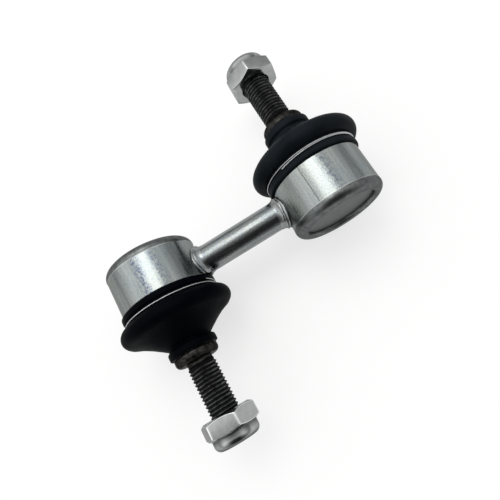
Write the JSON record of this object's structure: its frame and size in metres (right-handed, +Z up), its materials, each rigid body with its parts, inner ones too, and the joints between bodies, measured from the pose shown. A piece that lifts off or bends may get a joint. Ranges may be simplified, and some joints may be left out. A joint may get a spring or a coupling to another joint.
{
  "type": "stabilizer link",
  "caption": "Short stabilizer link: a round rod welded between ball joint housings, with rubber dust boots, opposed threaded studs and hexagon lock nuts.",
  "frame": {"origin": "middle of the rod, half way between the two ball centres", "axes": "+X along the rod towards the upper joint, +Y along the upper stud, +Z up; the part lies flat, with both studs level"},
  "size_m": [0.105, 0.1128, 0.04],
  "materials": {
    "zinc_plated_steel": "bright zinc plating, slightly streaked along the axis",
    "cap_steel": "dull zinc plating",
    "seat_plastic": "moulded acetal",
    "boot_rubber": "matte black moulded rubber",
    "spring_wire": "bright drawn wire",
    "ring_steel": "plain steel",
    "black_steel": "black phosphate, slightly oiled",
    "nut_steel": "bright zinc plating",
    "nylon": "dark moulded nylon"
  },
  "bodies": {
    "link": {"rod": "zinc_plated_steel", "upper_weld_flash": "zinc_plated_steel", "upper_housing": "zinc_plated_steel", "upper_end_cap": "cap_steel", "upper_dust_boot": "boot_rubber", "upper_boot_clip": "spring_wire", "lower_weld_flash": "zinc_plated_steel", "lower_housing": "zinc_plated_steel", "lower_end_cap": "cap_steel", "lower_dust_boot": "boot_rubber", "lower_boot_clip": "spring_wire"},
    "upper_seat": {"upper_ball_seat": "seat_plastic"},
    "upper_lip": {"upper_boot_ring": "ring_steel"},
    "upper_stud": {"upper_ball_stud": "black_steel"},
    "upper_insert": {"upper_nut_insert": "nylon"},
    "upper_nut": {"upper_nut": "nut_steel"},
    "lower_seat": {"lower_ball_seat": "seat_plastic"},
    "lower_lip": {"lower_boot_ring": "ring_steel"},
    "lower_stud": {"lower_ball_stud": "black_steel"},
    "lower_insert": {"lower_nut_insert": "nylon"},
    "lower_nut": {"lower_nut": "nut_steel"}
  },
  "joints": [
    {"name": "upper_azimuth", "type": "hinge", "parent": "link", "child": "upper_seat", "pos_m": [0.0325, 0, 0], "axis": [0, 1, 0], "continuous": true},
    {"name": "upper_tilt", "type": "hinge", "parent": "upper_seat", "child": "upper_lip", "pos_m": [0.0325, 0, 0], "axis": [0, 0, 1], "range_deg": [-20, 20], "deforming": ["upper_dust_boot"]},
    {"name": "upper_spin", "type": "hinge", "parent": "upper_lip", "child": "upper_stud", "pos_m": [0.0325, 0, 0], "axis": [0, 1, 0], "continuous": true},
    {"name": "upper_nut_slide", "type": "slide", "parent": "upper_stud", "child": "upper_insert", "axis": [0, 1, 0], "range_m": [-0.01811, 0.02001]},
    {"name": "upper_nut_turn", "type": "hinge", "parent": "upper_insert", "child": "upper_nut", "pos_m": [0.0325, 0, 0], "axis": [0, 1, 0], "range_deg": [-5212.8, 5760]},
    {"name": "lower_azimuth", "type": "hinge", "parent": "link", "child": "lower_seat", "pos_m": [-0.0325, 0, 0], "axis": [0, -1, 0], "continuous": true},
    {"name": "lower_tilt", "type": "hinge", "parent": "lower_seat", "child": "lower_lip", "pos_m": [-0.0325, 0, 0], "axis": [0, 0, 1], "range_deg": [-20, 20], "deforming": ["lower_dust_boot"]},
    {"name": "lower_spin", "type": "hinge", "parent": "lower_lip", "child": "lower_stud", "pos_m": [-0.0325, 0, 0], "axis": [0, -1, 0], "continuous": true},
    {"name": "lower_nut_slide", "type": "slide", "parent": "lower_stud", "child": "lower_insert", "axis": [0, -1, 0], "range_m": [-0.01811, 0.02001]},
    {"name": "lower_nut_turn", "type": "hinge", "parent": "lower_insert", "child": "lower_nut", "pos_m": [-0.0325, 0, 0], "axis": [0, -1, 0], "range_deg": [-5212.8, 5760]}
  ],
  "couplings": [
    {"joint": "upper_nut_slide", "follows": "upper_nut_turn", "m_per_rad": 0.00019894},
    {"joint": "lower_nut_slide", "follows": "lower_nut_turn", "m_per_rad": 0.00019894}
  ]
}
